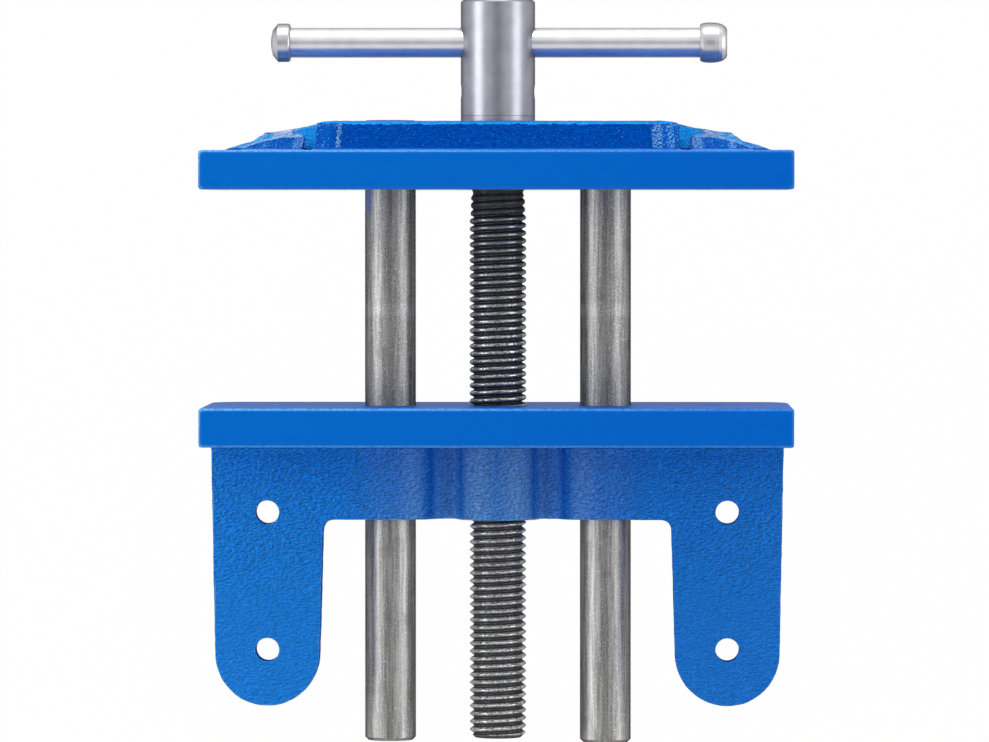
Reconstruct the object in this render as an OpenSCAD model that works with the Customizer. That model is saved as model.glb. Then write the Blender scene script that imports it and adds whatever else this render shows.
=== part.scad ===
/* [Jaws] */
// Width of both jaws
jaw_w = 150; // [147:1:200]
// Height of both jaws
jaw_h = 60; // [56:1:80]
// Thickness of both jaws at the gripping plate
jaw_t = 10; // [8:0.5:14]
// Radius of the two lower corners of each jaw
jaw_corner_r = 9; // [4:1:14]
// Rounding of the jaws' other edges
jaw_edge_r = 0.6; // [0.6:0.2:2]
// Height of the jaws above the bench's mounting face
jaw_rise = 18; // [16:1:22]
// Opening between the two jaws as drawn
jaw_gap = 55; // [20:1:100]

/* [Mounting lugs] */
// Distance between the bolt holes across the vise
bolt_spacing_x = 117; // [110:1:119]
// Distance between the bolt holes along each lug
bolt_spacing_y = 35; // [30:1:50]
// Diameter of the bolt holes
bolt_d = 6; // [5:0.5:8]
// Distance from the fixed jaw's back face to the first bolt holes
first_bolt = 17; // [14:1:22]
// Width of each lug at its round end
lug_w = 26.8; // [24:0.4:28]
// Distance from the last bolt holes to the centre of the lug's round end
lug_end_past_bolt = 1; // [0:0.5:6]
// How much wider each lug is on its inner side at the root
lug_flare_in = 0.9; // [0:0.1:2]
// How much wider each lug is on its outer side at the root
lug_flare_out = 1; // [0:0.1:1.2]
// Thickness of the mounting lugs
plate_t = 7; // [5:0.5:9]
// Radius of the inner corner between a lug and the body
lug_fillet_r = 2.5; // [1:0.5:5]
// Rounding between the lugs' top and the fixed jaw
root_fillet_r = 1.6; // [0.8:0.2:3]

/* [Body] */
// Length of the body behind the fixed jaw
body_depth = 19; // [16:1:26]
// How far the screw boss stands out of the body's rear
screw_boss_proud = 0.3; // [0.1:0.1:2]
// Height of the valleys between the bosses above the screw's axis
web_above = 5.5; // [1:0.5:7]
// Depth of the web between the bosses below the screw's axis
web_below = 4.5; // [3:0.5:8]
// Distance from each rod's axis to the shoulder of its boss
rod_shoulder = 10.3; // [9:0.1:11]
// Distance from the middle to the shoulders of the screw boss
screw_shoulder = 8.1; // [7:0.1:9]
// How far the side of a boss leans outwards from its shoulder to the valley
boss_draft = 2.7; // [1:0.1:3]
// Thickness of the triangular rib under each lug
gusset_t = 5; // [4:0.5:7]
// Distance of that rib from the lug's outer edge
gusset_inset = 1.8; // [1:0.2:3]
// Length of the rib behind the fixed jaw
gusset_len = 48; // [30:1:56]
// Height of the rib at the fixed jaw
gusset_h = 28; // [15:1:30]

/* [Guide rods] */
// Diameter of the two guide rods
rod_d = 13; // [11:0.5:14]
// Length of the guide rods
rod_len = 158.5; // [150:0.5:200]
// Distance between the axes of the guide rods
rod_spacing = 55; // [52:1:60]
// Iron around each guide rod in the castings
rod_boss_wall = 5; // [4:0.5:6]
// Chamfer on the rear ends of the rods
rod_chamfer = 0.8; // [0.4:0.2:1.4]

/* [Screw] */
// Outside diameter of the thread
screw_d = 14.5; // [12:0.5:15]
// Length of the threaded part
thread_len = 142; // [135:0.5:190]
// Diameter of the plain journal in the moving jaw
journal_d = 11.6; // [10:0.2:11.8]
// Diameter of the spigot that enters the head
spigot_d = 9.6; // [8:0.2:9.8]
// Iron around the screw in the fixed jaw
screw_boss_wall = 3.5; // [2.5:0.5:4.5]
// Chamfer on the rear end of the screw
screw_chamfer = 1.4; // [0.6:0.2:2]

/* [Screw head] */
// Diameter of the head
head_d = 19; // [17:0.5:22]
// Length of the head
head_len = 30; // [29:0.5:40]
// Chamfer around the head's front end
head_chamfer = 0.9; // [0.4:0.1:1.6]
// Distance from the head's front end to the handle's axis
bar_from_end = 11.2; // [9:0.2:11.6]
// Diameter of the two spring pins and the pin through the head
pin_d = 4; // [3:0.5:4.5]

/* [Handle] */
// Diameter of the sliding handle bar
bar_d = 7.6; // [6:0.2:8]
// Length of the handle over both end caps
bar_len = 116.4; // [90:0.2:150]
// How far the handle is slid to the right, as drawn
bar_shift = -0.3; // [-5:0.1:5]
// Diameter of the chamfered cap
cap_right_d = 9.8; // [9.4:0.2:12]
// Length of the chamfered cap
cap_right_len = 4.9; // [4:0.1:8]
// Largest diameter of the barrel-shaped cap
cap_left_d = 10.3; // [9.4:0.1:12]
// Length of the barrel-shaped cap
cap_left_len = 6.9; // [5:0.1:9]

/* [Front of the moving jaw] */
// How far the raised panel stands out of the moving jaw
panel_proud = 7.6; // [6:0.2:10]
// Half of the panel's width at its front
panel_half = 41.5; // [41:0.5:44]
// Distance from the middle to the tip of each wing
wing_tip = 70.5; // [67:0.5:72]
// Distance from the middle to the inner edge of each rib's top
rib_in = 41; // [39:0.5:42]
// Distance from the middle to the outer side of each rib
rib_out = 46; // [44:0.5:47]
// Distance from the middle to the inner end of each wing's steep face
wing_face_in = 49.3; // [48.5:0.1:51]
// Distance between the cheek screws' holes on each jaw
cheek_spacing = 109; // [104:1:112]
// Height of the cheek screws below the mounting face
cheek_drop = 14; // [13:0.5:18]
// Diameter of the cheek screws' holes
cheek_d = 5.5; // [4:0.5:6]
// Radius of the boss around each cheek screw
cheek_boss_r = 5.5; // [5:0.5:7]
// How far that boss stands out of the moving jaw
cheek_boss_proud = 4.8; // [4:0.1:6]

/* [Hidden] */
$fn = 64;

// Colours of the finishes
paint_blue = [0.02, 0.36, 0.78];
rod_grey = [0.5, 0.5, 0.49];
screw_black = [0.14, 0.14, 0.14];
bright_steel = [0.78, 0.78, 0.8];
pin_grey = [0.35, 0.35, 0.36];

// Clearances and small values that many pieces share
running_gap = 0.08;
pressed_gap = 0.02;
bar_gap = 0.25;
play = 0.05;
overrun = 1;
sunk = 1;
arc_steps = 6;
end_steps = 24;

// Heights, with the mounting face at zero
top_z = jaw_rise;
bottom_z = jaw_rise - jaw_h;
rod_r = rod_d / 2;
rod_boss_r = rod_r + rod_boss_wall;
axis_z = -rod_boss_r;
cheek_z = -cheek_drop;

// Places along the vise, with the middle of the bolt pattern at zero
fixed_back_y = -(first_bolt + bolt_spacing_y / 2);
fixed_face_y = fixed_back_y - jaw_t;
moving_face_y = fixed_face_y - jaw_gap;
moving_front_y = moving_face_y - jaw_t;
panel_front_y = moving_front_y - panel_proud;
body_rear_y = fixed_back_y + body_depth;
lug_end_y = bolt_spacing_y / 2 + lug_end_past_bolt;

// Lugs
lug_x = bolt_spacing_x / 2;
lug_end_r = lug_w / 2;
lug_inner_x = lug_x - lug_end_r;
lug_outer_x = lug_x + lug_end_r;
gusset_x = lug_outer_x - gusset_inset - gusset_t;
gusset_hollow_share = 0.22;

// Guide rods and their pins
rod_x = rod_spacing / 2;
rod_left_recess = 0.3;
rod_right_proud = 0.2;
rod_left_front_y = panel_front_y + rod_left_recess;
rod_right_front_y = panel_front_y - rod_right_proud;
rod_front_chamfer = 0.3;
pin_r = pin_d / 2;
pin_wall = 0.9;
pin_slot = 0.8;
rod_pin_y = moving_front_y - panel_proud / 2;
rod_pin_recess = 0.3;
rod_pin_bottom_z = axis_z - rod_boss_r + rod_pin_recess;
rod_pin_past = 1.5;
rod_pin_top_z = axis_z + rod_r + rod_pin_past;

// Screw, washers and head
screw_r = screw_d / 2;
screw_boss_r = screw_r + screw_boss_wall;
rod_crown_r = 30;
screw_crown_r = 20;
journal_r = journal_d / 2;
spigot_r = spigot_d / 2;
washer_t = 1.2;
rear_washer_t = 1.6;
rear_washer_lap = 2.4;
rear_washer_r = screw_r + rear_washer_lap;
shoulder_depth = 2;
recess_depth = rear_washer_t + shoulder_depth;
recess_gap = 0.4;
recess_floor_y = moving_face_y - recess_depth;
shoulder_y = recess_floor_y + rear_washer_t + play;
head_rear_y = panel_front_y - washer_t;
head_front_y = head_rear_y - head_len;
head_r = head_d / 2;
bar_y = head_front_y + bar_from_end;
bar_r = bar_d / 2;
bar_hole_r = bar_r + bar_gap;
head_bore_extra = 0.3;
head_core = 1.85;
spigot_len = head_len - bar_from_end - bar_hole_r - head_core - head_bore_extra;
head_edge = 0.1;
head_pin_y = head_rear_y - spigot_len / 2;
head_pin_inset = 0.2;
mouth_r = 0.4;
groove_depth = 0.5;
groove_r = screw_r - groove_depth;
groove_len = 2;

// Handle
cap_skin = 1.4;
cap_right_r = cap_right_d / 2;
cap_left_r = cap_left_d / 2;
cap_chamfer = 1.7;
cap_edge = 0.7;
barrel_shares = [[0, 0.88], [0.04, 0.93], [0.12, 0.97], [0.25, 0.995], [0.4, 1], [0.55, 0.99],
    [0.7, 0.96], [0.82, 0.91], [0.92, 0.82], [0.97, 0.74], [1, 0.66]];

// Relief on the front of the moving jaw, as heights and amounts it stands out
panel_start_drop = 2.5;
panel_start_z = top_z - panel_start_drop;
panel_lip_share = 1.15;
panel_lip_z = axis_z + rod_boss_r * panel_lip_share;
lip_round = 1.1;
panel_foot_drop = 4;
panel_foot_z = axis_z - panel_foot_drop;
panel_heel_rise = 8;
panel_heel_z = bottom_z + panel_heel_rise;
rib_start_drop = 1.8;
rib_start_z = top_z - rib_start_drop;
rib_lip_drop = 13.5;
rib_lip_z = top_z - rib_lip_drop;
rib_blend = 2.2;
rib_slant = 1.4;
rib_slice_t = 0.05;
wing_start_drop = 9;
wing_start_z = top_z - wing_start_drop;
cheek_boss_above_shelf = 2;
wing_shelf_z = cheek_z + cheek_boss_r - cheek_boss_above_shelf;
wing_shelf_slope = 3.6;
wing_h = 11;
wing_foot_z = wing_shelf_z - wing_h;
wing_foot_taper = 12;
wing_heel_z = wing_foot_z - wing_foot_taper;
wing_step = 4;
wing_step_in = 5.5;
wing_step_x = wing_tip - wing_step_in;

// Plan curves of a wing's rim and of the step in it, as shares of length and of height
wing_rim_shares = [[0, 1], [0.09, 0.98], [0.2, 0.88], [0.28, 0.8], [0.43, 0.71], [0.56, 0.63],
    [0.64, 0.55], [0.69, 0.45], [0.715, 0.345], [0.85, 0.21], [1, 0]];
wing_step_shares = [[0, 0.8], [0.02, 0.93], [0.07, 1], [0.24, 0.92], [0.46, 0.78], [0.675, 0.58],
    [0.89, 0.27], [1, 0]];
screw_boss_collar = 2.5;
screw_boss_front_r = head_r + screw_boss_collar;

// Points of an arc about a centre, from one angle to another
function arc_points(centre, r, from, to, steps = arc_steps) =
    [for (i = [0:steps]) let (a = from + (to - from) * i / steps) centre + r * [cos(a), sin(a)]];

// Outline of a rectangle with four corner radii: low right, high right, high left, low left
function round_rect(low, high, r) = concat(
    arc_points([high[0] - r[0], low[1] + r[0]], r[0], -90, 0),
    arc_points([high[0] - r[1], high[1] - r[1]], r[1], 0, 90),
    arc_points([low[0] + r[2], high[1] - r[2]], r[2], 90, 180),
    arc_points([low[0] + r[3], low[1] + r[3]], r[3], 180, 270));

// A child drawn on both sides of the middle plane
module both_sides() {
    children();
    mirror([1, 0, 0]) children();
}

// Cylinder along the vise between two places
module along_y(from, to, r) {
    translate([0, from, 0])
        rotate([-90, 0, 0])
            cylinder(h = to - from, r = r);
}

// Outline in side view, drawn as places along the vise and heights, extruded across it
module across(from, to, points) {
    translate([from, 0, 0])
        rotate([90, 0, 90])
            linear_extrude(to - from)
                polygon(points);
}

// Outline in plan view, extruded between two heights
module upright(low, high, points) {
    translate([0, 0, low])
        linear_extrude(high - low)
            polygon(points);
}

// Solid turned about an axis along the vise, from points of place and radius
module turned_y(points) {
    rotate([-90, 0, 0])
        rotate_extrude()
            polygon([for (p = points) [p[1], p[0]]]);
}

// Gripping plate, rounded on all its edges, with large lower corners
module jaw_plate(face_y, back_y) {
    half = jaw_w / 2;
    e = jaw_edge_r;
    low_y = min(face_y, back_y);
    high_y = max(face_y, back_y);
    intersection() {
        upright(bottom_z, top_z, round_rect([-half, low_y], [half, high_y], [e, e, e, e]));
        across(-half, half, round_rect([low_y, bottom_z], [high_y, top_z], [e, e, e, e]));
        translate([0, high_y, 0])
            rotate([90, 0, 0])
                linear_extrude(high_y - low_y)
                    polygon(round_rect([-half, bottom_z], [half, top_z],
                        [jaw_corner_r, e, e, jaw_corner_r]));
    }
}

// Plan outline of one lug with its share of the plate, from the rod's axis outwards
function lug_outline() = concat(
    [[rod_x, fixed_back_y - sunk], [lug_outer_x + lug_flare_out, fixed_back_y - sunk]],
    arc_points([lug_x, lug_end_y], lug_end_r, 0, 180, end_steps),
    arc_points([lug_inner_x - lug_flare_in - lug_fillet_r, body_rear_y + lug_fillet_r],
        lug_fillet_r, 0, -90),
    [[rod_x, body_rear_y]]);

// Flat plate and lug of the right side, bolted under the bench
module lug() {
    upright(-plate_t, 0, lug_outline());
    across(rod_x, lug_outer_x + lug_flare_out, concat(
        [[fixed_back_y - sunk, -sunk], [fixed_back_y - sunk, root_fillet_r]],
        arc_points([fixed_back_y + root_fillet_r, root_fillet_r], root_fillet_r, 180, 270),
        [[fixed_back_y + root_fillet_r, -sunk]]));
}

// Triangular rib under a lug, hollowed a little along its sloping edge
module gusset() {
    tip = [fixed_back_y + gusset_len, -plate_t + sunk];
    foot = [fixed_back_y - sunk, -plate_t - gusset_h];
    middle = (tip + foot) / 2 + gusset_hollow_share * [-gusset_h, gusset_h] / 2;
    across(gusset_x, gusset_x + gusset_t,
        [foot, middle, tip + [0, -2 * sunk], tip, [fixed_back_y - sunk, -plate_t + sunk]]);
}

// Half outline of the body's top, seen along the vise: rod boss, valley and screw boss
function body_half() = concat(
    [[rod_x, axis_z - web_below]],
    arc_points([rod_x, -rod_crown_r], rod_crown_r, 90, 90 + asin(rod_shoulder / rod_crown_r)),
    [[rod_x - rod_shoulder - boss_draft, axis_z + web_above],
    [screw_shoulder + boss_draft, axis_z + web_above]],
    arc_points([0, axis_z + screw_boss_r - screw_crown_r], screw_crown_r,
        90 - asin(screw_shoulder / screw_crown_r), 90),
    [[0, axis_z - web_below]]);

// Bosses for the rods and the screw behind the fixed jaw, with valleys between them
module body() {
    translate([0, 0, axis_z]) {
        both_sides()
            translate([rod_x, 0, 0])
                along_y(fixed_back_y - sunk, body_rear_y, rod_boss_r);
        along_y(fixed_back_y - sunk, body_rear_y + screw_boss_proud, screw_boss_r);
    }
    both_sides()
        translate([0, body_rear_y, 0])
            rotate([90, 0, 0])
                linear_extrude(body_depth + sunk)
                    polygon(body_half());
}

module fixed_jaw() {
    color(paint_blue)
        difference() {
            union() {
                jaw_plate(fixed_face_y, fixed_back_y);
                both_sides() {
                    lug();
                    gusset();
                }
                body();
            }
            both_sides() {
                translate([rod_x, 0, axis_z])
                    along_y(fixed_face_y - overrun, body_rear_y + overrun, rod_r + running_gap);
                for (y = [-bolt_spacing_y / 2, bolt_spacing_y / 2])
                    translate([lug_x, y, -plate_t - overrun])
                        cylinder(h = plate_t + 2 * overrun, d = bolt_d);
                translate([cheek_spacing / 2, 0, cheek_z])
                    along_y(fixed_face_y - overrun, fixed_back_y + overrun, cheek_d / 2);
            }
            translate([0, 0, axis_z])
                along_y(fixed_face_y - overrun, body_rear_y + screw_boss_proud + overrun,
                    screw_r + running_gap);
        }
}

// Places in front of the moving jaw from shares of a length across it and of a height
function front_points(from, to, proud, shares) =
    [for (s = shares) [from + s[0] * (to - from), moving_front_y - s[1] * proud]];

// Points of the right side, repeated on the left in the order that closes an outline
function mirrored(points) = [for (i = [len(points) - 1:-1:0]) [-points[i][0], points[i][1]]];

// Plan outline of the whole relief: a flat panel with a wing tapering away on each side
function relief_plan() = let (rim = front_points(panel_half, wing_tip, panel_proud, wing_rim_shares))
    concat([[wing_tip, moving_front_y + sunk], [-wing_tip, moving_front_y + sunk]],
        mirrored(rim), rim);

// Relief between two places across the jaw, bounded above and below by sloping faces
module relief_block(from, to, start_z, lip_z, foot_z, heel_z) {
    lip = min(lip_round, panel_proud / 2);
    intersection() {
        upright(bottom_z, top_z, relief_plan());
        across(from, to, [
            [moving_front_y + sunk, heel_z], [moving_front_y + sunk, start_z],
            [moving_front_y, start_z], [panel_front_y + lip, lip_z], [panel_front_y, lip_z - lip],
            [panel_front_y, foot_z], [moving_front_y - panel_proud / 3, (foot_z + heel_z) / 2],
            [moving_front_y, heel_z]]);
    }
}

// Steep upper face of a wing, from its rounded inner end to its tip
module wing_face() {
    intersection() {
        upright(bottom_z, top_z, concat(
            [[wing_step_x, moving_front_y + sunk], [wing_face_in, moving_front_y + sunk]],
            front_points(wing_face_in, wing_step_x, wing_step, wing_step_shares)));
        across(wing_face_in, wing_step_x, [[moving_front_y + sunk, wing_foot_z],
            [moving_front_y + sunk, wing_start_z], [moving_front_y, wing_start_z],
            [moving_front_y - wing_step, wing_shelf_z], [moving_front_y - wing_step, wing_foot_z]]);
    }
}

// Slice of a rib in side view, with the heights of its upper face at the jaw and at the rim
module rib_slice(x, start_z, lip_z) {
    across(x, x + rib_slice_t, [[moving_front_y + sunk, start_z], [moving_front_y, start_z],
        [panel_front_y + lip_round, lip_z], [panel_front_y + lip_round, panel_foot_z],
        [moving_front_y + sunk, panel_foot_z]]);
}

// Rib that rises from the panel and slants away a little on its outer side
module rib() {
    intersection() {
        upright(bottom_z, top_z, relief_plan());
        hull() {
            rib_slice(rib_in - rib_blend, panel_start_z, panel_lip_z);
            rib_slice(rib_in, rib_start_z, rib_lip_z);
            rib_slice(rib_out - rib_slant, rib_start_z, rib_lip_z);
            rib_slice(rib_out, rib_start_z - rib_slant, rib_lip_z - rib_slant);
        }
    }
}

// Front of the moving jaw: panel, ribs, wings, and the bosses for rods, screw and cheek screws
module relief() {
    relief_block(-rib_in, rib_in, panel_start_z, panel_lip_z, panel_foot_z, panel_heel_z);
    both_sides() {
        relief_block(rib_in - sunk, rib_out, panel_start_z, panel_lip_z, panel_foot_z, panel_heel_z);
        rib();
        wing_face();
        relief_block(rib_out - sunk, wing_tip, wing_shelf_z + wing_shelf_slope, wing_shelf_z,
            wing_foot_z, wing_heel_z);
        translate([cheek_spacing / 2, 0, cheek_z])
            along_y(moving_front_y - cheek_boss_proud, moving_front_y + sunk, cheek_boss_r);
        translate([rod_x, 0, axis_z])
            along_y(panel_front_y, moving_front_y + sunk, rod_boss_r);
    }
    translate([0, 0, axis_z])
        along_y(panel_front_y, moving_front_y + sunk, screw_boss_front_r);
}

module moving_jaw() {
    color(paint_blue)
        difference() {
            union() {
                jaw_plate(moving_front_y, moving_face_y);
                relief();
            }
            both_sides() {
                translate([rod_x, 0, axis_z])
                    along_y(panel_front_y - overrun, moving_face_y + overrun, rod_r + pressed_gap);
                translate([rod_x, rod_pin_y, axis_z - rod_boss_r - overrun])
                    cylinder(h = rod_pin_top_z - axis_z + rod_boss_r + overrun, r = pin_r + pressed_gap);
                translate([cheek_spacing / 2, 0, cheek_z])
                    along_y(moving_front_y - panel_proud, moving_face_y + overrun, cheek_d / 2);
            }
            translate([0, 0, axis_z]) {
                along_y(panel_front_y - overrun, moving_face_y, journal_r + running_gap);
                along_y(recess_floor_y, moving_face_y + overrun, rear_washer_r + recess_gap);
            }
        }
}

// One guide rod from its front end, drilled across for its pin
module guide_rod(front_y) {
    rear_y = front_y + rod_len;
    color(rod_grey)
        difference() {
            translate([0, 0, axis_z])
                turned_y([[front_y, 0], [front_y, rod_r - rod_front_chamfer],
                    [front_y + rod_front_chamfer, rod_r], [rear_y - rod_chamfer, rod_r],
                    [rear_y, rod_r - rod_chamfer], [rear_y, 0]]);
            translate([0, rod_pin_y, axis_z - rod_r - overrun])
                cylinder(h = rod_d + 2 * overrun, r = pin_r + pressed_gap);
        }
}

// Rolled spring pin, open along one side
module spring_pin(len) {
    color(pin_grey)
        difference() {
            cylinder(h = len, r = pin_r);
            translate([0, 0, -overrun])
                cylinder(h = len + 2 * overrun, r = pin_r - pin_wall);
            translate([0, -pin_slot / 2, -overrun])
                cube([pin_r + overrun, pin_slot, len + 2 * overrun]);
        }
}

module rod_pin() {
    translate([0, rod_pin_y, rod_pin_bottom_z])
        rotate([0, 0, 90])
            spring_pin(rod_pin_top_z - rod_pin_bottom_z);
}

module guide_rod_left() {
    translate([-rod_x, 0, 0]) guide_rod(rod_left_front_y);
}

module guide_rod_right() {
    translate([rod_x, 0, 0]) guide_rod(rod_right_front_y);
}

module rod_pin_left() {
    translate([-rod_x, 0, 0]) rod_pin();
}

module rod_pin_right() {
    translate([rod_x, 0, 0]) rod_pin();
}

// Screw: spigot in the head, journal in the moving jaw, shoulder, relief groove and threaded part
module lead_screw() {
    spigot_y = head_rear_y - spigot_len;
    end_y = shoulder_y + thread_len;
    color(screw_black)
        difference() {
            translate([0, 0, axis_z])
                turned_y([[spigot_y, 0], [spigot_y, spigot_r - mouth_r], [spigot_y + mouth_r, spigot_r],
                    [head_rear_y, spigot_r], [head_rear_y, journal_r], [shoulder_y, journal_r],
                    [shoulder_y, groove_r], [shoulder_y + groove_len, groove_r],
                    [shoulder_y + groove_len + mouth_r, screw_r], [end_y - screw_chamfer, screw_r],
                    [end_y, screw_r - screw_chamfer], [end_y, 0]]);
            translate([-spigot_d, head_pin_y, axis_z])
                rotate([0, 90, 0])
                    cylinder(h = 2 * spigot_d, r = pin_r + pressed_gap);
        }
}

// Head of the screw, bored for the spigot and drilled across for the handle and the pin
module screw_head() {
    bore_y = head_rear_y - spigot_len - head_bore_extra;
    color(bright_steel)
        difference() {
            translate([0, 0, axis_z])
                turned_y([[head_front_y, 0], [head_front_y, head_r - head_chamfer],
                    [head_front_y + head_chamfer, head_r], [head_rear_y - head_edge, head_r],
                    [head_rear_y, head_r - head_edge], [head_rear_y, 0]]);
            translate([0, 0, axis_z])
                along_y(bore_y, head_rear_y + overrun, spigot_r + pressed_gap);
            translate([-head_r - overrun, bar_y, axis_z])
                rotate([0, 90, 0])
                    cylinder(h = head_d + 2 * overrun, r = bar_hole_r);
            translate([-head_r - overrun, head_pin_y, axis_z])
                rotate([0, 90, 0])
                    cylinder(h = head_d + 2 * overrun, r = pin_r + pressed_gap);
        }
}

module head_pin() {
    len = head_d - 2 * head_pin_inset;
    translate([-len / 2, head_pin_y, axis_z])
        rotate([0, 90, 0])
            spring_pin(len);
}

// Washer between two places along the vise
module washer(from, to, outer_r, inner_r) {
    color(bright_steel)
        translate([0, 0, axis_z])
            turned_y([[from, inner_r], [to, inner_r], [to, outer_r], [from, outer_r]]);
}

module front_washer() {
    washer(head_rear_y, panel_front_y, head_r, journal_r + running_gap);
}

module rear_washer() {
    washer(recess_floor_y, recess_floor_y + rear_washer_t, rear_washer_r, journal_r + running_gap);
}

// Handle bar, its ends seated in the caps
module handle_bar() {
    len = bar_len - 2 * cap_skin;
    color(bright_steel)
        translate([bar_shift - len / 2, bar_y, axis_z])
            rotate([0, 90, 0])
                rotate_extrude()
                    polygon([[0, 0], [bar_r - mouth_r, 0], [bar_r, mouth_r], [bar_r, len - mouth_r],
                        [bar_r - mouth_r, len], [0, len]]);
}

// Cap turned from points of distance from its inner end and radius, bored for the bar
module cap(len, points) {
    color(bright_steel)
        translate([bar_len / 2 - len, bar_y, axis_z])
            rotate([0, 90, 0])
                difference() {
                    rotate_extrude()
                        polygon([for (p = points) [p[1], p[0]]]);
                    translate([0, 0, -overrun])
                        cylinder(h = len - cap_skin + overrun, r = bar_r + pressed_gap);
                }
}

module handle_cap_right() {
    translate([bar_shift, 0, 0])
        cap(cap_right_len, concat([[0, 0]],
            arc_points([cap_edge, cap_right_r - cap_edge], cap_edge, 180, 90),
            [[cap_right_len - cap_chamfer, cap_right_r],
            [cap_right_len - cap_edge / 2, cap_right_r - cap_chamfer],
            [cap_right_len, cap_right_r - 2 * cap_chamfer], [cap_right_len, 0]]));
}

module handle_cap_left() {
    translate([bar_shift, 0, 0])
        mirror([1, 0, 0])
            cap(cap_left_len, concat([[0, 0]],
                [for (s = barrel_shares) [s[0] * cap_left_len, s[1] * cap_left_r]],
                [[cap_left_len, 0]]));
}

fixed_jaw();
moving_jaw();
guide_rod_left();
guide_rod_right();
rod_pin_left();
rod_pin_right();
lead_screw();
screw_head();
head_pin();
front_washer();
rear_washer();
handle_bar();
handle_cap_left();
handle_cap_right();
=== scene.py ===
import math

import bpy
import numpy as np
from mathutils import Matrix, Vector, noise

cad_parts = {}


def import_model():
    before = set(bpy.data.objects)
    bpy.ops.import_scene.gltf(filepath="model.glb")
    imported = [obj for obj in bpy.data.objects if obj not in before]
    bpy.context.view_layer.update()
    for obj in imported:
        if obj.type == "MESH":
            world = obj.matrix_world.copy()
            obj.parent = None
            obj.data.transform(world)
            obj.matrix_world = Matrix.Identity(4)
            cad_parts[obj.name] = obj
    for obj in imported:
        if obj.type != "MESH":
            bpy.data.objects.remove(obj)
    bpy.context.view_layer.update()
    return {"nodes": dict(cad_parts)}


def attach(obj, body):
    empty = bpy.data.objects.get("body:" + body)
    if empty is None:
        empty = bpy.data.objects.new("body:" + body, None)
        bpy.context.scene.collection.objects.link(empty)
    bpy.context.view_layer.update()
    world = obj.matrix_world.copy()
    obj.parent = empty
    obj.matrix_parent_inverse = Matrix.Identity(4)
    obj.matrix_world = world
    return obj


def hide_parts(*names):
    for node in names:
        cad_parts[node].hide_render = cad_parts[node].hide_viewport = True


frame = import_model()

MM = 0.001

# Places of the vise in millimetres, in the frame of the CAD model
JAW_END_X = 75
FIXED_BACK_Y = -34.5
FIXED_FACE_Y = -44.5
LUG_BOTTOM_Z = -7
LUG_INNER_X = 42
BODY_REAR_Y = -15.5
MOVING_FRONT_Y = -109.5
PANEL_FRONT_Y = -117.1
LIP_Y = -116.6
LIP_Z = 1.7
WING_WALL_X = 49
WING_END_X = 66
WING_SHELF_Z = -10.5
AXIS_Z = -11.5
ROD_X = 27.5
BOLT_X = 58.5
BOLT_Y = 17.5
CHEEK_X = 54.5
CHEEK_Z = -14
# Below the reach of the handle when it is turned straight down
FLOOR_Z = -118

# Radii of the thread's crests and of the bores in millimetres
CREST_R = 7.25
ROD_RUN_R = 6.58
ROD_PRESS_R = 6.52
SCREW_BORE_R = 7.33
SPIGOT_BORE_R = 5.88
WASHER_SEAT_R = 10.05
BOLT_HOLE_R = 3.0
CHEEK_HOLE_R = 2.75


def srgb(red, green, blue):
    """Linear colour of an sRGB colour that is given from 0 to 255."""
    def linear(value):
        share = value / 255
        return share / 12.92 if share <= 0.04045 else ((share + 0.055) / 1.055) ** 2.4
    return (linear(red), linear(green), linear(blue), 1)


def grey(value):
    return (value, value, value, 1)


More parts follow.
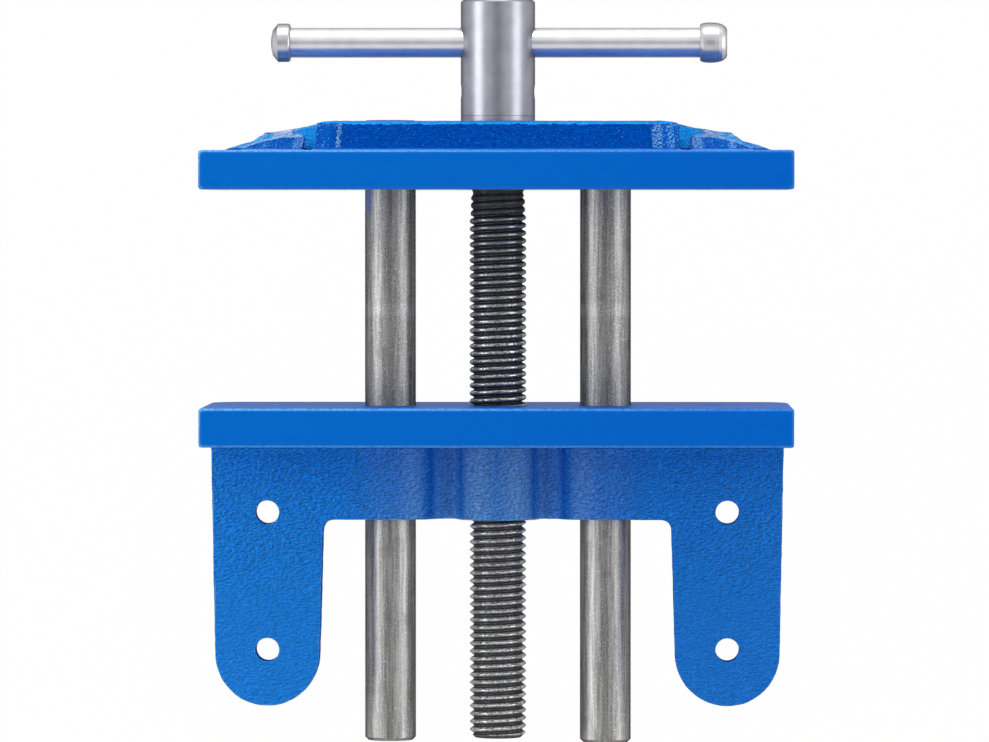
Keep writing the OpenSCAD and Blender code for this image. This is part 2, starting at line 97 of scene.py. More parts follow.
class Graph:
    """Node tree with short ways to add and join nodes."""

    def __init__(self, tree):
        self.tree = tree
        tree.nodes.clear()

    def add(self, kind, sockets=None, **settings):
        """Node whose sockets are linked to other sockets or set to values."""
        node = self.tree.nodes.new(kind)
        for name, value in settings.items():
            setattr(node, name, value)
        for name, value in (sockets or {}).items():
            if isinstance(value, bpy.types.NodeSocket):
                self.tree.links.new(value, node.inputs[name])
            else:
                node.inputs[name].default_value = value
        return node

    def math(self, operation, *values, clamp=False):
        sockets = dict(enumerate(values))
        return self.add("ShaderNodeMath", sockets, operation=operation, use_clamp=clamp).outputs[0]

    def product(self, first, *others):
        for other in others:
            first = self.math("MULTIPLY", first, other)
        return first

    def rest(self, share):
        """What a share leaves of one."""
        return self.math("SUBTRACT", 1.0, share)

    def steps(self, value, low, high, to_low=0.0, to_high=1.0):
        """Smooth change from one number to another while a value goes from low to high."""
        sockets = {"Value": value, "From Min": low, "From Max": high, "To Min": to_low, "To Max": to_high}
        return self.add("ShaderNodeMapRange", sockets, interpolation_type="SMOOTHSTEP").outputs[0]

    def band(self, value, start, full, fade, end):
        """One while a value is between full and fade, and nothing before start and after end."""
        return self.product(self.steps(value, start, full), self.steps(value, end, fade))

    def mix(self, share, first, second, blend="MIX"):
        sockets = {0: share, 6: first, 7: second}
        return self.add("ShaderNodeMix", sockets, data_type="RGBA", blend_type=blend).outputs[2]

    def scaled(self, vector, scale):
        sockets = {0: vector, 1: scale}
        return self.add("ShaderNodeVectorMath", sockets, operation="MULTIPLY").outputs[0]

    def shifted(self, vector, offset):
        sockets = {0: vector, 1: offset}
        return self.add("ShaderNodeVectorMath", sockets, operation="ADD").outputs[0]

    def ramp(self, value, stops):
        """Colour that runs through a list of stops, each a position and a colour."""
        node = self.add("ShaderNodeValToRGB", {0: value})
        elements = node.color_ramp.elements
        while len(elements) < len(stops):
            elements.new(0.5)
        for element, (position, colour) in zip(elements, stops):
            element.position = position
            element.color = colour
        return node.outputs[0]

    def noise(self, vector, scale, detail=2.0, roughness=0.5, distortion=0.0):
        sockets = {"Vector": vector, "Scale": scale, "Detail": detail, "Roughness": roughness,
                   "Distortion": distortion}
        return self.add("ShaderNodeTexNoise", sockets).outputs[0]

    def bump(self, height, distance):
        sockets = {"Height": height, "Distance": distance, "Strength": 1.0}
        return self.add("ShaderNodeBump", sockets).outputs[0]

    def attribute(self, name):
        return self.add("ShaderNodeAttribute", attribute_name=name).outputs["Fac"]

    def place(self):
        """Object coordinates in millimetres."""
        coords = self.add("ShaderNodeTexCoord").outputs["Object"]
        return self.scaled(coords, (1 / MM, 1 / MM, 1 / MM))

    def parts(self, vector):
        return self.add("ShaderNodeSeparateXYZ", {0: vector}).outputs

    def surface(self, **sockets):
        names = {name.replace("_", " "): value for name, value in sockets.items()}
        shader = self.add("ShaderNodeBsdfPrincipled", names)
        self.add("ShaderNodeOutputMaterial", {"Surface": shader.outputs[0]})


def new_material(name, graph=Graph):
    material = bpy.data.materials.new(name)
    material.use_nodes = True
    return material, graph(material.node_tree)


# Blues of the enamel on the plates, with painted shade that darkens them towards the left end
PLATE_SHADED_LEFT_BLUE = srgb(0, 99, 203)
PLATE_LIT_RIGHT_BLUE = srgb(0, 108, 207)
PLATE_CLOUD_BLUE = srgb(0, 104, 206)
# Painted shade: deep blues of the steep walls of the moving jaw's relief and of the lugs; and the blue of
# the painted glints
WALL_SHADE_BLUE = srgb(0, 58, 154)
WALL_RIPPLE_SHADE_BLUE = srgb(0, 80, 180)
OUTER_WALL_SHADE_BLUE = srgb(4, 96, 198)
PAINTED_GLINT_BLUE = srgb(130, 190, 244)
# Painted light: lighter blues of the relief's faces that look upwards; and the blue of the rest of the
# casting
PANEL_PAINTED_LIGHT_BLUE = srgb(0, 165, 255)
SHELF_PAINTED_LIGHT_BLUE = srgb(30, 158, 240)
SHELF_PATCH_PAINTED_LIGHT_BLUE = srgb(90, 180, 248)
CAST_BLUE = srgb(0, 112, 214)
# Painted highlights: on the tops of the cheek screws' bosses, along the edges, on edges away from the
# light and on the wings' edges
BOSS_HIGHLIGHT_BLUE = srgb(190, 205, 242)
EDGE_HIGHLIGHT_LEFT_BLUE = srgb(70, 160, 238)
EDGE_HIGHLIGHT_RIGHT_BLUE = srgb(105, 185, 245)
EDGE_HIGHLIGHT_LEE_BLUE = srgb(80, 160, 230)
WING_LINE_HIGHLIGHT_BLUE = srgb(175, 215, 250)
# Paint that has run onto the rods
ROD_PAINT_BLUE = srgb(10, 84, 186)

# Painted light and shade on the upper faces behind the fixed jaw and on the lugs: distance from the
# middle in millimetres, sRGB colour
# Lighter all over against the shadow of the jaw's plate, pale on the bosses' shoulders, dark on the steep
# valley walls
BODY_REACH = 40
BODY_PAINTED_LIGHT_AND_SHADE = [
    (0, (68, 137, 218)), (5, (96, 155, 223)), (8, (76, 140, 216)), (9.3, (14, 104, 198)),
    (11, (84, 157, 241)), (15, (72, 147, 233)), (16.8, (0, 96, 198)), (18.2, (21, 112, 208)),
    (19.8, (72, 140, 223)), (22, (80, 146, 229)), (26, (52, 130, 221)), (30, (50, 131, 224)),
    (35, (28, 128, 225)), (40, (18, 131, 230)),
]
# Painted shade: how much of each colour is left at the left end of the casting
LEFT_PAINTED_SHADE = (0.9, 0.81, 0.88, 1)
# Painted shade that darkens the gripping face
GRIPPING_PAINTED_SHADE = (0.8, 0.8, 0.8)
# Paint that is seen edge on or in the shelter of an edge mirrors less of the room
FINISHES = {
    "open": {"rough": 0.16, "specular": 0.12},
    "gripping": {"rough": 0.45, "specular": 0.06},
    "sheltered_painted_shade": {"rough": 0.5, "specular": 0.0},
}

RIPPLE_SQUEEZE = (0.9, 1.8, 1.3)
# Step between the two looks at the ripples, whose difference gives the painted light and shade on their
# slopes
RIPPLE_STEP = (0.22, -0.3, 0.1)
RIPPLE_HEIGHT = 0.9
# The walls' painted shade is lighter and their painted glints denser outside of this distance from the
# middle
OUTER_X = 41.5
# Level of the noise above which painted glints show
GLINT_LEVEL = 0.66
GLINT_BLUR = 1.2
# Bands of denser painted glints across the relief: from, to, gain
GLINT_BANDS = [
    (38.6, 41.3, 0.19), (49.2, 52.4, 0.1), (57.6, 60.4, 0.06),
    (-42.4, -38.6, 0.17), (-45.6, -42.4, 0.08), (-52.8, -49.0, 0.13), (-61.2, -58.2, 0.12),
]
# Edges of the plates that lie away from the light, whose painted highlight takes its own blue: start,
# full, fade and end along the vise
LEE_BANDS = [(-104.5, -103.5, -96.0, -95.0), (-40.0, -39.0, -34.4, -34.1)]
# Part of the cheek screws' bosses with a painted highlight: start, full, fade and end across the vise
BOSS_BAND = (52.0, 53.0, 56.6, 57.6)


class Enamel(Graph):
    """Node tree of the blue paint, with what its colours follow."""

    def __init__(self, tree):
        super().__init__(tree)
        self.at = self.place()
        self.x, self.y, self.z = self.parts(self.at)
        self.aside = self.math("ABSOLUTE", self.x)
        self.to_right = self.steps(self.x, -JAW_END_X, JAW_END_X)
        self.relief = self.steps(self.y, MOVING_FRONT_Y - 0.1, MOVING_FRONT_Y - 0.7)
        self.squeezed = self.scaled(self.at, RIPPLE_SQUEEZE)
        self.ripple = self.ripples(self.squeezed)

    def ripples(self, vector):
        return self.noise(vector, 1.0, detail=2.0, roughness=0.6, distortion=0.6)

    def wall_painted_shade_blue(self):
        """Painted shade: deep blue of the steep walls, lighter further out, with painted glints."""
        outer = self.steps(self.aside, OUTER_X - 1, OUTER_X + 1)
        # Painted shade of the steep walls, lighter further out
        blue = self.mix(self.steps(self.ripple, 0.35, 0.6), WALL_SHADE_BLUE, WALL_RIPPLE_SHADE_BLUE)
        blue = self.mix(self.product(outer, 0.6), blue, OUTER_WALL_SHADE_BLUE)
        # Painted glints, denser in the bands
        glint = self.noise(self.scaled(self.at, (1.1, 1.0, 0.9)), 1.9, detail=2.0, roughness=0.7)
        level = self.math("SUBTRACT", GLINT_LEVEL, self.product(outer, 0.07))
        for first, last, gain in GLINT_BANDS:
            band = self.band(self.x, first, first + GLINT_BLUR, last - GLINT_BLUR, last)
            level = self.math("SUBTRACT", level, self.product(band, gain))
        shine = self.steps(self.math("SUBTRACT", glint, level), 0.0, 0.08, 0.0, 0.85)
        return self.mix(self.product(self.relief, shine), blue, PAINTED_GLINT_BLUE)

    def open_painted_light_shade_blue(self):
        """Painted light and shade: lighter on the faces that look upwards, light and dark on the
        wrinkles' slopes.
        """
        # Painted light and shade on the upper faces behind the fixed jaw
        tones = [(far / BODY_REACH, srgb(*tone)) for far, tone in BODY_PAINTED_LIGHT_AND_SHADE]
        body_painted_blue = self.ramp(self.math("DIVIDE", self.aside, BODY_REACH), tones)
        # Painted light on the relief's shelves and panel
        patch = self.steps(self.noise(self.at, 0.25, detail=2.0), 0.42, 0.62)
        shelf_painted_light = self.mix(patch, SHELF_PAINTED_LIGHT_BLUE, SHELF_PATCH_PAINTED_LIGHT_BLUE)
        on_panel = self.steps(self.aside, WING_WALL_X + 2, WING_WALL_X)
        shelf_painted_light = self.mix(on_panel, shelf_painted_light, PANEL_PAINTED_LIGHT_BLUE)
        top_painted_light = self.mix(self.relief, body_painted_blue, shelf_painted_light)
        blue = self.mix(self.attribute("top"), CAST_BLUE, top_painted_light)
        # Painted shade towards the left end, weaker on the relief
        side_painted_shade = self.mix(self.to_right, LEFT_PAINTED_SHADE, grey(1.0))
        blue = self.mix(self.steps(self.relief, 0.0, 1.0, 1.0, 0.4), blue, side_painted_shade, "MULTIPLY")
        # Painted light and shade on the slopes of the wrinkles, weaker on the relief
        beside = self.ripples(self.shifted(self.squeezed, RIPPLE_STEP))
        painted_slope_shade = self.steps(self.math("SUBTRACT", self.ripple, beside), -0.12, 0.12, -1.0, 1.0)
        painted_slope_strength = self.steps(self.y, 12, -12, 0.2, 0.38)
        painted_slope_strength = self.product(painted_slope_strength, self.rest(self.product(self.relief, 0.7)))
        return self.scaled(blue, self.math("ADD", 1.0, self.product(painted_slope_shade, painted_slope_strength)))

    def painted_boss_highlights(self, colour):
        """A colour with painted highlights on the tops of the cheek screws' small bosses."""
        ragged = self.noise(self.scaled(self.at, (1.0, 2.0, 2.0)), 0.9, detail=3.0, roughness=0.7)
        ragged = self.math("ADD", ragged, self.product(self.to_right, 0.12))
        # Patches where the painted highlight shows
        painted_shine = self.steps(ragged, 0.44, 0.56)
        outward = self.steps(self.y, MOVING_FRONT_Y - 3.6, MOVING_FRONT_Y - 4.0)
        upward = self.steps(self.z, WING_SHELF_Z - 0.5, WING_SHELF_Z + 0.5)
        share = self.product(self.band(self.aside, *BOSS_BAND), outward, painted_shine, upward)
        return self.mix(share, colour, BOSS_HIGHLIGHT_BLUE)

    def painted_edge_highlights(self, colour):
        """A colour with painted highlights: the thin light lines of the edges."""
        # Painted highlights grow stronger towards the right end and are broken up by noise
        least = self.steps(self.x, -JAW_END_X, JAW_END_X, 0.2, 0.45)
        most = self.steps(self.x, -JAW_END_X, JAW_END_X, 0.6, 0.95)
        painted_shine = self.steps(self.noise(self.at, 1.3, detail=3.0), 0.35, 0.6, least, most)
        from_end = self.steps(self.x, 0.2 - JAW_END_X, 0.8 - JAW_END_X, 0.35, 1.0)
        share = self.product(self.steps(self.attribute("edge"), 0.6, 1.0), painted_shine, from_end)
        blue = self.mix(self.to_right, EDGE_HIGHLIGHT_LEFT_BLUE, EDGE_HIGHLIGHT_RIGHT_BLUE)
        # Painted highlights in their own blues on the edges away from the light and on the wings
        lee = self.math("MAXIMUM", *[self.band(self.y, *band) for band in LEE_BANDS])
        blue = self.mix(lee, blue, EDGE_HIGHLIGHT_LEE_BLUE)
        wing_line = self.product(self.relief, self.steps(self.aside, WING_WALL_X - 1, WING_WALL_X + 1))
        blue = self.mix(wing_line, blue, WING_LINE_HIGHLIGHT_BLUE)
        return self.mix(share, colour, blue)


def enamel(finish):
    """Blue paint: smooth on the ground plates, wrinkled on the casting, with painted light and shade in
    its colour.
    """
    material, g = new_material("blue_enamel_" + finish, Enamel)
    behind = g.steps(g.y, FIXED_BACK_Y + 0.2, FIXED_BACK_Y + 0.9)
    cast = g.math("MAXIMUM", behind, g.relief)
    cloud = g.noise(g.at, 0.22, detail=2.0)
    # Painted shade: the plates darken towards the left end
    plate_blue = g.mix(g.to_right, PLATE_SHADED_LEFT_BLUE, PLATE_LIT_RIGHT_BLUE)
    plate_blue = g.mix(g.steps(cloud, 0.35, 0.65, 0.0, 0.5), plate_blue, PLATE_CLOUD_BLUE)
    # Painted shade on the gripping face
    if finish == "gripping":
        plate_blue = g.scaled(plate_blue, GRIPPING_PAINTED_SHADE)
    # Painted shade on the steep walls; painted light and shade on the other faces
    cast_blue = g.wall_painted_shade_blue() if finish == "sheltered_painted_shade" else g.open_painted_light_shade_blue()
    colour = g.mix(cast, plate_blue, cast_blue)
    # Painted highlights on the bosses' tops and along the edges
    colour = g.painted_edge_highlights(g.painted_boss_highlights(colour))

    pebble = g.noise(g.at, 0.55, detail=1.0)
    cast_height = g.product(g.math("ADD", g.ripple, g.product(pebble, 0.7)), cast)
    plate_height = g.product(cloud, 0.05, g.rest(cast))
    normal = g.bump(g.math("ADD", cast_height, plate_height), RIPPLE_HEIGHT * MM)
    speck = g.noise(g.at, 1.6, detail=2.0, roughness=0.7)
    values = FINISHES[finish]
    rough = g.math("ADD", g.product(speck, 0.12), values["rough"])
    g.surface(Base_Color=colour, Roughness=rough, Normal=normal, Specular_IOR_Level=values["specular"])
    return material


# Faint ring around the rods: start, full, fade and end along the vise
ROD_RING = (-71.5, -69.5, -68.5, -66.5)


def drawn_steel():
    """Dark drawn bar with fine bright grain, faint streaks along it and traces of paint."""
    material, g = new_material("drawn_steel")
    place = g.place()
    x, y, _ = g.parts(place)
    streak = g.noise(g.scaled(place, (1.5, 0.06, 1.5)), 1.0, detail=3.0)
    grain = g.noise(g.scaled(place, (1.0, 0.7, 1.0)), 3.2, detail=3.0, roughness=0.7)
    stain = g.noise(place, 0.16, detail=3.0)
    shade = g.mix(g.steps(streak, 0.3, 0.7), grey(0.16), (0.32, 0.315, 0.31, 1))
    shade = g.scaled(shade, g.steps(y, FIXED_FACE_Y, BODY_REAR_Y, 0.82, 1.0))
    shade = g.mix(g.steps(grain, 0.5, 0.75), shade, grey(0.55))
    shade = g.mix(g.steps(stain, 0.55, 0.75, 0.0, 0.4), shade, (0.15, 0.13, 0.11, 1))
    ring = g.product(g.band(y, *ROD_RING), g.steps(grain, 0.35, 0.55, 0.0, 0.2))
    shade = g.mix(ring, shade, grey(0.55))
    rough = g.math("ADD", g.product(grain, 0.3), 0.27)
    normal = g.bump(g.math("ADD", grain, g.product(streak, 0.5)), 0.02 * MM)

    front = g.steps(y, PANEL_FRONT_Y + 0.9, PANEL_FRONT_Y + 0.5)
    uneven_y = g.math("ADD", y, g.product(stain, 3.0))
    smear = g.product(g.steps(x, ROD_X + 3.8, ROD_X + 5.4), g.steps(uneven_y, -92.0, -93.6, 0.0, 0.4))
    painted = g.math("MAXIMUM", front, smear)
    shade = g.mix(painted, shade, ROD_PAINT_BLUE)
    g.surface(Base_Color=shade, Metallic=g.rest(painted), Roughness=rough, Normal=normal,
              Specular_Tint=grey(0.0))
    return material


def black_steel():
    """Oiled black screw, worn lighter on its crests, with painted highlights on them that grow towards
    the rear.
    """
    material, g = new_material("blackened_steel")
    place = g.place()
    x, y, z = g.parts(place)
    above = g.math("SUBTRACT", z, AXIS_Z)
    radius = g.math("SQRT", g.math("ADD", g.product(x, x), g.product(above, above)))
    spots = g.noise(place, 1.1, detail=3.0, roughness=0.6)
    glaze = g.noise(g.scaled(place, (0.8, 2.4, 0.8)), 1.6, detail=2.0, roughness=0.7)
    to_rear = g.steps(y, FIXED_FACE_Y, BODY_REAR_Y)
    crest_low = g.steps(y, FIXED_FACE_Y, BODY_REAR_Y, CREST_R - 0.35, CREST_R - 0.75)
    crest_high = g.steps(y, FIXED_FACE_Y, BODY_REAR_Y, CREST_R - 0.1, CREST_R - 0.3)
    crest = g.product(g.steps(radius, crest_low, crest_high), g.steps(spots, 0.2, 0.5))

    dark = g.mix(to_rear, grey(0.04), grey(0.055))
    shade = g.mix(g.steps(spots, 0.3, 0.7), dark, g.mix(to_rear, grey(0.08), grey(0.1)))
    # Painted highlights on the crests, growing towards the rear
    painted_shine = g.steps(g.math("ADD", y, g.product(spots, 12.0)), -80, -55)
    bright = g.mix(painted_shine, grey(0.26), g.mix(to_rear, grey(0.6), grey(0.72)))
    dull = g.mix(to_rear, grey(0.14), grey(0.2))
    shade = g.mix(crest, shade, g.mix(g.steps(glaze, 0.35, 0.65), dull, bright))
    crest_rough = g.steps(glaze, 0.35, 0.65, 0.42, 0.16)
    rough = g.math("ADD", g.product(crest, crest_rough), g.product(g.rest(crest), 0.55))
    g.surface(Base_Color=shade, Metallic=0.75, Roughness=rough, Normal=g.bump(spots, 0.02 * MM),
              Specular_Tint=grey(0.3))
    return material


def bright_steel(name, along, low, high, metal, dark_rim):
    """Turned bright steel, with fine marks around the axis that runs along the vise or across it."""
    material, g = new_material(name)
    place = g.place()
    squeeze = (0.03, 6.0, 0.03) if along == "y" else (6.0, 0.03, 0.03)
    rings = g.noise(g.scaled(place, squeeze), 1.0, detail=2.0, roughness=0.6)
    cloud = g.noise(place, 0.3, detail=3.0)
    scratch = g.noise(g.scaled(place, (1.2, 1.2, 1.2)), 2.0, detail=3.0, roughness=0.7)
    shade = g.mix(g.steps(cloud, 0.3, 0.7), low, high)
    shade = g.mix(g.steps(scratch, 0.66, 0.8, 0.0, 0.25), shade, grey(0.28))
    rough = g.math("ADD", g.product(rings, 0.1), g.product(cloud, 0.04))
    normal = g.bump(g.math("ADD", rings, g.product(scratch, 0.15)), 0.008 * MM)
    g.surface(Base_Color=shade, Metallic=metal, Roughness=g.math("ADD", rough, 0.24), Normal=normal,
              Specular_Tint=grey(dark_rim))
    return material


def pin_steel():
    """Dark spring steel of the pins."""
    material, g = new_material("spring_steel")
    cloud = g.noise(g.place(), 1.2, detail=3.0)
    shade = g.mix(cloud, grey(0.07), grey(0.16))
    rough = g.math("ADD", g.product(cloud, 0.2), 0.28)
    g.surface(Base_Color=shade, Metallic=1.0, Roughness=rough, Normal=g.bump(cloud, 0.02 * MM))
    return material


def link(piece):
    bpy.context.scene.collection.objects.link(piece)
    return piece


def finished_mesh(piece):
    """Mesh of a piece with its modifiers applied."""
    graph = bpy.context.evaluated_depsgraph_get()
    mesh = bpy.data.meshes.new_from_object(piece.evaluated_get(graph))
    piece.modifiers.clear()
    return mesh


def rows_of(items, name):
    """A row of three numbers for each point or face of a mesh."""
    flat = np.empty(len(items) * 3)
    items.foreach_get(name, flat)
    return flat.reshape(-1, 3)


def convexity(mesh, points, normals, passes):
    """How far each point stands out of the smoothed surface around it, in millimetres."""
    ends = np.empty(len(mesh.edges) * 2, dtype=np.int64)
    mesh.edges.foreach_get("vertices", ends)
    a, b = ends.reshape(-1, 2).T
    count = np.maximum(np.bincount(ends, minlength=len(points)), 1)
    mean = points.copy()
    for _ in range(passes):
        total = [np.bincount(a, mean[b, i], len(points)) + np.bincount(b, mean[a, i], len(points))
                 for i in range(3)]
        mean = np.array(total).T / count[:, None]
    return np.einsum("ij,ij->i", points - mean, normals)


def snap_to_bore(points, axis, centre, radius, reach=0.3):
    """Puts the points of a bore's wall back on its true radius."""
    across = [i for i in range(3) if i != axis]
    offset = points[:, across] - np.array(centre)
    distance = np.linalg.norm(offset, axis=1)
    near = np.abs(distance - radius) < reach
    scale = radius / distance[near]
    points[np.ix_(near, across)] = np.array(centre) + offset[near] * scale[:, None]


# Shape of the castings, in millimetres
VOXEL = 0.42
SOFTEN_PASSES = 2
WAVE_DEPTH = 0.16
PLATE_WAVE_DEPTH = 0.03
# Waves of the surface: number per millimetre, strength
WAVES = [(0.42, 0.5), (0.95, 0.25)]
# How far a point stands out where the painted highlight line of an edge is full, for narrow edges and for
# wide ones
EDGE_FULL = 0.045
WIDE_EDGE_FULL = 0.1
WIDE_EDGE_PASSES = 4
# Gain of the hollow along the top of the wing walls, which takes a painted highlight line too
HOLLOW_GAIN = 1.6
# Least upward part of the normal on the shelves of the relief and on top of the rear casting
SHELF_UP = 0.62
TOP_UP = 0.15


def on_relief(points):
    _, y, z = points.T
    return (y < MOVING_FRONT_Y - 0.6) & (z > CHEEK_Z)


def edge_lines(mesh, points, normals):
    """How strongly each point takes the painted highlight line of an edge, from 0 to 1."""
    sharp = convexity(mesh, points, normals, 1) / EDGE_FULL
    wide = convexity(mesh, points, normals, WIDE_EDGE_PASSES) / WIDE_EDGE_FULL
    aside = np.abs(points[:, 0])
    relief = on_relief(points)
    wing = relief & (aside > WING_WALL_X) & (aside < WING_END_X)
    lip = relief & (points[:, 1] < PANEL_FRONT_Y + 2)
    line = np.where(lip, np.maximum(sharp, wide), sharp)
    line = np.where(wing, np.maximum(sharp, -wide * HOLLOW_GAIN), line)
    return np.clip(line, 0, 1)


def upper_faces(points, normals):
    """Whether each point lies on a shelf of the relief or on top of the rear casting."""
    _, y, z = points.T
    up = normals[:, 2]
    shelf = on_relief(points) & (up > SHELF_UP) & (z < LIP_Z + 0.8)
    return shelf | ((y > FIXED_BACK_Y) & (up > TOP_UP) & (z > AXIS_Z))


def wave_depths(points):
    """How deep the waves of the mould lie below each point, in millimetres."""
    y = points[:, 1]
    cast = (y > FIXED_BACK_Y + 0.3) | (y < MOVING_FRONT_Y - 0.3)
    waves = [0.5 + sum(strength * noise.noise(Vector(p) * often) for often, strength in WAVES)
             for p in points]
    return np.where(cast, WAVE_DEPTH, PLATE_WAVE_DEPTH) * np.clip(np.array(waves), 0, 1)


def finish_of_faces(mesh):
    """Each face's finish: 1 on the fixed jaw's gripping face, 2 on the steep walls that take painted
    shade and 0 elsewhere.
    """
    x, y, z = rows_of(mesh.polygons, "center").T / MM
    up = rows_of(mesh.polygons, "normal")[:, 2]
    below_lip = (y < LIP_Y) | (z < WING_SHELF_Z)
    relief_wall = (y < MOVING_FRONT_Y - 0.3) & ~below_lip & (up < SHELF_UP)
    gripping = (np.abs(y - FIXED_FACE_Y) < 0.4) & (up < 0.3)
    lug_wall = (y > FIXED_BACK_Y + 0.5) & (z > LUG_BOTTOM_Z) & (z < 0.2) & (np.abs(up) < 0.5)
    lug_wall &= np.abs(x) > LUG_INNER_X
    return np.where(gripping, 1, np.where(relief_wall | lug_wall, 2, 0))


def casting(node, bores, materials):
    """The casting's real surface: soft edges and corners, and the slight waves of its mould."""
    piece = link(bpy.data.objects.new(node + "_casting", frame["nodes"][node].data.copy()))
    even = piece.modifiers.new("even", "REMESH")
    even.mode = "VOXEL"
    even.voxel_size = VOXEL * MM
    soft = piece.modifiers.new("soft", "SMOOTH")
    soft.factor = 0.5
    soft.iterations = SOFTEN_PASSES
    mesh = finished_mesh(piece)
    piece.data = mesh

    points = rows_of(mesh.vertices, "co") / MM
    normals = rows_of(mesh.vertices, "normal")
    edge = edge_lines(mesh, points, normals)
    top = upper_faces(points, normals)
    points -= normals * wave_depths(points)[:, None]
    for bore in bores:
        snap_to_bore(points, *bore)
    mesh.vertices.foreach_set("co", (points * MM).ravel())
    # Attributes that place the painted highlights of the edges and the painted light of the upper faces
    mesh.attributes.new("edge", "FLOAT", "POINT").data.foreach_set("value", edge)
    mesh.attributes.new("top", "FLOAT", "POINT").data.foreach_set("value", top.astype(float))
    mesh.shade_smooth()
    mesh.materials.clear()
    for material in materials:
        mesh.materials.append(material)
    mesh.polygons.foreach_set("material_index", finish_of_faces(mesh).astype(np.int32))
    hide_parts(node)
    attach(piece, "base" if node == "fixed_jaw" else "front")


def smooth_rise(value, low, high):
    share = np.clip((value - low) / (high - low), 0, 1)
    return share * share * (3 - 2 * share)


# The screw, in millimetres
PITCH = 2.0
ROOT_R = 6.2
THREAD_START_Y = -99.05
SCREW_END_Y = 40.55
LEAD_IN_LEN = 2
WORN_START_LEN = 6
WORN_DEPTH = 0.32
WORN_ROOT_RISE = 0.2
RIDGE_HALF = 0.42
FRONT_RIDGE_POWER = 2.8
REAR_RIDGE_POWER = 1.5
SCREW_SIDES = 72
ROWS_PER_PITCH = 16
SCREW_CHAMFER = 1.4
# Plain front end: place along the vise, radius
PLAIN_ROWS = [(-130.9, 4.4), (-130.5, 4.8), (-118.3, 4.8), (-118.3, 5.8), (-101.45, 5.8), (-101.45, 6.65),
              (-99.2, 6.65)]


def thread_radii(y, turn):
    """Radius of the thread around the screw at one place along it."""
    phase = (y / PITCH - turn / (2 * math.pi)) % 1
    aside = np.minimum(phase, 1 - phase) / RIDGE_HALF
    to_rear = smooth_rise(y, FIXED_FACE_Y, BODY_REAR_Y)
    power = FRONT_RIDGE_POWER + (REAR_RIDGE_POWER - FRONT_RIDGE_POWER) * to_rear
    ridge = np.clip(1 - aside ** power, 0, 1)
    whole_y = THREAD_START_Y + WORN_START_LEN
    whole = smooth_rise(y, whole_y - 1, whole_y + 1)
    crest = CREST_R - WORN_DEPTH * (1 - whole)
    root = ROOT_R if whole > 0.5 else ROOT_R + WORN_ROOT_RISE
    lead_in = smooth_rise(y, THREAD_START_Y, THREAD_START_Y + LEAD_IN_LEN)
    radius = root + (crest - root) * ridge * lead_in
    return np.minimum(radius, CREST_R - SCREW_CHAMFER + (SCREW_END_Y - y))


def screw(material):
    """Screw with a true right-hand thread."""
    turn = np.linspace(0, 2 * math.pi, SCREW_SIDES, endpoint=False)
    rows = [(y, np.full(SCREW_SIDES, radius)) for y, radius in PLAIN_ROWS]
    count = int((SCREW_END_Y - THREAD_START_Y) / PITCH * ROWS_PER_PITCH)
    rows += [(y, thread_radii(y, turn)) for y in np.linspace(THREAD_START_Y, SCREW_END_Y, count)]
    points = [(radius[i] * math.sin(turn[i]), y, AXIS_Z + radius[i] * math.cos(turn[i]))
              for y, radius in rows for i in range(SCREW_SIDES)]
    front_centre = len(points)
    points.append((0, rows[0][0], AXIS_Z))
    rear_centre = len(points)
    points.append((0, rows[-1][0], AXIS_Z))
    last_row = (len(rows) - 1) * SCREW_SIDES
    faces = []
    for i in range(SCREW_SIDES):
        j = (i + 1) % SCREW_SIDES
        faces.append((front_centre, i, j))
        faces.append((rear_centre, last_row + j, last_row + i))
        for here in range(0, last_row, SCREW_SIDES):
            there = here + SCREW_SIDES
            faces.append((here + i, there + i, there + j, here + j))
    mesh = bpy.data.meshes.new("threaded_screw")
    mesh.from_pydata([Vector(p) * MM for p in points], [], faces)
    mesh.shade_smooth()
    mesh.set_sharp_from_angle(angle=math.radians(50))
    mesh.materials.append(material)
    piece = link(bpy.data.objects.new("threaded_screw", mesh))
    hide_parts("lead_screw")
    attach(piece, "spindle")


def dress(nodes, material):
    for node in nodes:
        mesh = frame["nodes"][node].data
        mesh.materials.clear()
        mesh.materials.append(material)


# Photograph's frame and view
PHOTO_WIDTH = 989
FOCAL_PIXELS = 6686
SENSOR_WIDTH = 36
CAMERA_PLACE = (-0.02865, -0.0936, 1.698)
CAMERA_FORWARD = (115.5, 158, -6686)
IMAGE_UP = (0, -1, 0)


def camera():
    forward = Vector(CAMERA_FORWARD).normalized()
    right = forward.cross(Vector(IMAGE_UP)).normalized()
    up = right.cross(forward)
    data = bpy.data.cameras.new("camera")
    data.sensor_width = SENSOR_WIDTH
    data.lens = FOCAL_PIXELS * SENSOR_WIDTH / PHOTO_WIDTH
    data.clip_end = 50
    piece = link(bpy.data.objects.new("camera", data))
    turned = Matrix((right, up, -forward)).transposed().to_4x4()
    piece.matrix_world = Matrix.Translation(CAMERA_PLACE) @ turned
    bpy.context.scene.camera = piece


LAMP_DISTANCE = 1.2
LAMP_AIM = Vector((0, -0.05, 0))
# Soft boxes: name, lean from straight up towards +X (x) or -Y (y), in degrees, size in metres, watts
SOFT_BOXES = [
    ("box_right", "x", 63, (1.15, 0.56), 6.4),
    ("box_left", "x", -63, (1.15, 0.56), 5.3),
    ("box_front", "y", 75, (1.0, 0.75), 7.0),
]


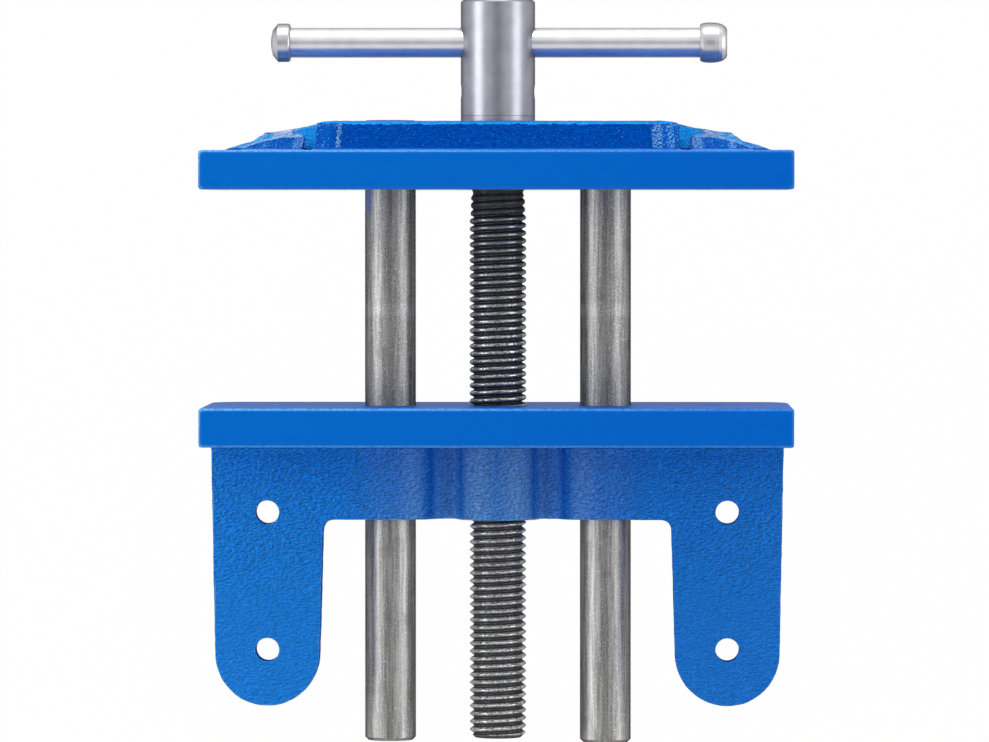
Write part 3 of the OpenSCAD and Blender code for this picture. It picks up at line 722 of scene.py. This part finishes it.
def soft_box(name, axis, angle, size, watts):
    data = bpy.data.lights.new(name, "AREA")
    data.shape = "RECTANGLE"
    data.size, data.size_y = size
    data.energy = watts
    piece = link(bpy.data.objects.new(name, data))
    tilt = math.radians(angle)
    if axis == "x":
        outward = Vector((math.sin(tilt), 0, math.cos(tilt)))
        length = Vector((0, 1, 0))
    else:
        outward = Vector((0, -math.sin(tilt), math.cos(tilt)))
        length = Vector((1, 0, 0))
    turned = Matrix((length, outward.cross(length), outward)).transposed().to_4x4()
    piece.matrix_world = Matrix.Translation(LAMP_AIM + outward * LAMP_DISTANCE) @ turned
    piece.visible_camera = False


def shown_rays(g):
    """One for the rays that show the background: from the camera and through gloss or glass."""
    path = g.add("ShaderNodeLightPath").outputs
    shown = g.math("ADD", path["Is Camera Ray"], path["Is Glossy Ray"])
    return g.math("ADD", shown, path["Is Transmission Ray"], clamp=True)


# Brightness of the studio from the horizon, 0, to straight above, 1
SKY = [(0.0, grey(1.0)), (0.94, grey(1.0)), (0.98, grey(0.38)), (1.0, grey(0.2))]
# Its strength for the rays that only light the vise
WORLD_DIFFUSE = 0.52


def world():
    """Pale studio, darker straight above."""
    space = bpy.data.worlds.new("studio")
    space.use_nodes = True
    bpy.context.scene.world = space
    g = Graph(space.node_tree)
    height = g.parts(g.add("ShaderNodeTexCoord").outputs["Generated"])[2]
    strength = g.steps(shown_rays(g), 0.0, 1.0, WORLD_DIFFUSE, 1.0)
    background = g.add("ShaderNodeBackground", {"Color": g.ramp(height, SKY), "Strength": strength})
    g.add("ShaderNodeOutputWorld", {"Surface": background.outputs[0]})


# Half the floor's side in metres
FLOOR_HALF = 8
FLOOR_WHITE_SHARE = 0.98


def floor():
    """Pale floor that shows almost as white as the studio and still takes a trace of shadow."""
    material, g = new_material("pale_floor")
    diffuse = g.add("ShaderNodeBsdfDiffuse", {"Color": grey(0.9)})
    white = g.add("ShaderNodeEmission", {"Color": grey(1.0), "Strength": 1.0})
    share = g.product(shown_rays(g), FLOOR_WHITE_SHARE)
    mixed = g.add("ShaderNodeMixShader", {0: share, 1: diffuse.outputs[0], 2: white.outputs[0]})
    g.add("ShaderNodeOutputMaterial", {"Surface": mixed.outputs[0]})
    signs = ((-1, -1), (1, -1), (1, 1), (-1, 1))
    corners = [(x * FLOOR_HALF, y * FLOOR_HALF, FLOOR_Z * MM) for x, y in signs]
    mesh = bpy.data.meshes.new("floor")
    mesh.from_pydata(corners, [], [(0, 1, 2, 3)])
    mesh.materials.append(material)
    link(bpy.data.objects.new("floor", mesh))


# Bores of the castings: axis (1 along the vise, 2 upright), centre across it and radius
SIDES = (-1, 1)
CHEEK_HOLES = [(1, (s * CHEEK_X, CHEEK_Z), CHEEK_HOLE_R) for s in SIDES]
FIXED_BORES = [(1, (s * ROD_X, AXIS_Z), ROD_RUN_R) for s in SIDES] + [(1, (0, AXIS_Z), SCREW_BORE_R)]
FIXED_BORES += CHEEK_HOLES
FIXED_BORES += [(2, (s * BOLT_X, t * BOLT_Y), BOLT_HOLE_R) for s in SIDES for t in SIDES]
MOVING_BORES = [(1, (s * ROD_X, AXIS_Z), ROD_PRESS_R) for s in SIDES] + CHEEK_HOLES
MOVING_BORES += [(1, (0, AXIS_Z), radius) for radius in (SPIGOT_BORE_R, WASHER_SEAT_R)]

# Bright steel: material, axis of its marks, darker and lighter shade, metal, rim, nodes
BRIGHT_STEELS = [
    ("bright_steel_turned_along", "y", (0.31, 0.31, 0.35, 1), (0.35, 0.35, 0.39, 1), 0.78, 0.0,
     ("screw_head", "front_washer", "rear_washer")),
    ("bright_steel_turned_across", "x", (0.7, 0.7, 0.73, 1), (0.76, 0.76, 0.78, 1), 0.88, 0.2,
     ("handle_bar",)),
    ("bright_steel_caps", "x", (0.5, 0.5, 0.52, 1), (0.58, 0.58, 0.6, 1), 0.9, 0.0,
     ("handle_cap_left", "handle_cap_right")),
]

blues = [enamel(finish) for finish in FINISHES]
casting("fixed_jaw", FIXED_BORES, blues)
casting("moving_jaw", MOVING_BORES, blues)
screw(black_steel())
dress(("guide_rod_left", "guide_rod_right"), drawn_steel())
dress(("rod_pin_left", "rod_pin_right", "head_pin"), pin_steel())
for *settings, nodes in BRIGHT_STEELS:
    dress(nodes, bright_steel(*settings))

camera()
world()
floor()
for box in SOFT_BOXES:
    soft_box(*box)
bpy.context.scene.view_settings.view_transform = "Standard"
